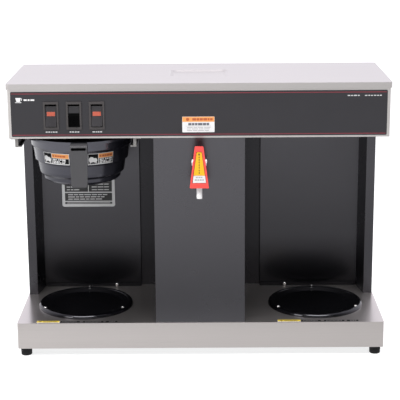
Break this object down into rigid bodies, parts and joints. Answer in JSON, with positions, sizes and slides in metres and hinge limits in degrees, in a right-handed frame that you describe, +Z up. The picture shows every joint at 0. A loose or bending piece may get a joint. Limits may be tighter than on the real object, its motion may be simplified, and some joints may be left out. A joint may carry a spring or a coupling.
{
  "type": "commercial coffee brewer",
  "caption": "Low-profile automatic coffee brewer: stainless hood and tray joined by a black trunk, sliding brew funnel on rails, hot-water faucet, lower warmers and rocker switches.",
  "frame": {"origin": "middle of the overall footprint on the counter plane, under the feet", "axes": "+X to the operator's right along the length, +Y to the back, +Z up"},
  "size_m": [0.6116, 0.2676, 0.4564],
  "materials": {
    "stainless_shell": "brushed",
    "zinc_sheet": "satin",
    "black_paint": "semi-gloss",
    "black_enamel": "gloss enamel",
    "heating_disc": "matte",
    "screw_steel": "bright",
    "foot_rubber": "matte",
    "panel_overlay": "fine satin film",
    "switch_black": "satin",
    "lens_red": "clear gloss",
    "switch_brass": "bright",
    "plate_film": "satin film",
    "rail_steel": "satin",
    "funnel_plastic": "gloss moulded",
    "handle_plastic": "fine texture",
    "faucet_plastic": "satin moulded",
    "faucet_red": "satin moulded",
    "stem_steel": "turned",
    "silicone": "matte",
    "nut_brass": "turned",
    "tank_steel": "satin",
    "heater_sheath": "oxidised",
    "control_grey": "satin",
    "knob_black": "satin",
    "valve_brass": "cast",
    "reset_red": "gloss",
    "board_green": "solder mask",
    "wire_cover": "satin",
    "cord_black": "satin"
  },
  "bodies": {
    "housing": {"base_tray": "stainless_shell", "base_pan": "zinc_sheet", "rubber_feet": "foot_rubber", "foot_screws": "screw_steel", "warmer_plate_left": "black_enamel", "warmer_plate_right": "black_enamel", "warmer_elements": "heating_disc", "element_clamps": "zinc_sheet", "warmer_screws": "screw_steel", "trunk_post_left": "black_paint", "trunk_post_right": "black_paint", "bay_panel_left": "black_paint", "bay_panel_right": "black_paint", "column_cover": "black_paint", "rear_cover": "zinc_sheet", "hood_wrap": "stainless_shell", "hood_floor": "zinc_sheet", "top_lid": "stainless_shell", "panel_screws": "screw_steel", "control_overlay": "panel_overlay", "switch_housings": "switch_black", "switch_terminals": "switch_brass", "rating_plate": "plate_film", "caution_plates": "plate_film", "funnel_rail_left": "rail_steel", "funnel_rail_right": "rail_steel", "sprayhead": "rail_steel", "sprayhead_seal": "silicone", "faucet_body": "faucet_plastic", "faucet_spout": "faucet_plastic", "faucet_pin": "screw_steel", "faucet_nut": "nut_brass", "tank": "tank_steel", "tank_gasket": "silicone", "tank_lid": "tank_steel", "tank_bolts": "screw_steel", "heater_element": "heater_sheath", "thermostat": "control_grey", "inlet_valve": "valve_brass", "limit_thermostat": "control_grey", "water_tubes": "silicone", "inlet_fitting": "nut_brass", "timer_board": "board_green", "wiring": "wire_cover", "strain_relief": "cord_black", "power_cord": "cord_black"},
    "funnel": {"brew_funnel": "funnel_plastic", "funnel_handle": "handle_plastic", "handle_screws": "screw_steel"},
    "faucet_lever": {"faucet_handle": "faucet_red"},
    "faucet_valve": {"faucet_stem": "stem_steel", "faucet_seat_cup": "silicone"},
    "power_switch": {"power_rocker": "switch_black", "power_lens": "lens_red"},
    "start_switch": {"start_rocker": "switch_black"},
    "warmer_switch": {"warmer_rocker": "switch_black", "warmer_lens": "lens_red"},
    "temperature_knob": {"thermostat_knob": "knob_black"},
    "inlet_plunger": {"valve_plunger": "stem_steel"},
    "limit_reset": {"reset_button": "reset_red"}
  },
  "joints": [
    {"name": "funnel_slide", "type": "slide", "parent": "housing", "child": "funnel", "axis": [0, -1, 0], "range_m": [0, 0.185]},
    {"name": "faucet_pull", "type": "hinge", "parent": "housing", "child": "faucet_lever", "pos_m": [0, -0.1218, 0.334], "axis": [-1, 0, 0], "range_deg": [0, 35], "stiffness_Nm_per_rad": 0.3},
    {"name": "faucet_lift", "type": "slide", "parent": "housing", "child": "faucet_valve", "axis": [0, 0, 1], "range_m": [0, 0.003]},
    {"name": "power_rock", "type": "hinge", "parent": "housing", "child": "power_switch", "pos_m": [-0.2337, -0.0978, 0.4045], "axis": [1, 0, 0], "range_deg": [0, 18]},
    {"name": "start_rock", "type": "hinge", "parent": "housing", "child": "start_switch", "pos_m": [-0.1975, -0.0978, 0.4045], "axis": [1, 0, 0], "range_deg": [0, 18], "stiffness_Nm_per_rad": 0.1},
    {"name": "warmer_rock", "type": "hinge", "parent": "housing", "child": "warmer_switch", "pos_m": [-0.1613, -0.0978, 0.4045], "axis": [1, 0, 0], "range_deg": [0, 18]},
    {"name": "temperature_turn", "type": "hinge", "parent": "housing", "child": "temperature_knob", "pos_m": [0.225, -0.0378, 0.4003], "axis": [0, 0, -1], "range_deg": [0, 270]},
    {"name": "plunger_lift", "type": "slide", "parent": "housing", "child": "inlet_plunger", "axis": [0, 0, 1], "range_m": [0, 0.003]},
    {"name": "reset_press", "type": "slide", "parent": "housing", "child": "limit_reset", "axis": [0, 0, -1], "range_m": [0, 0.0018]}
  ],
  "couplings": [
    {"joint": "faucet_lift", "follows": "faucet_pull", "m_per_rad": 0.0049}
  ]
}
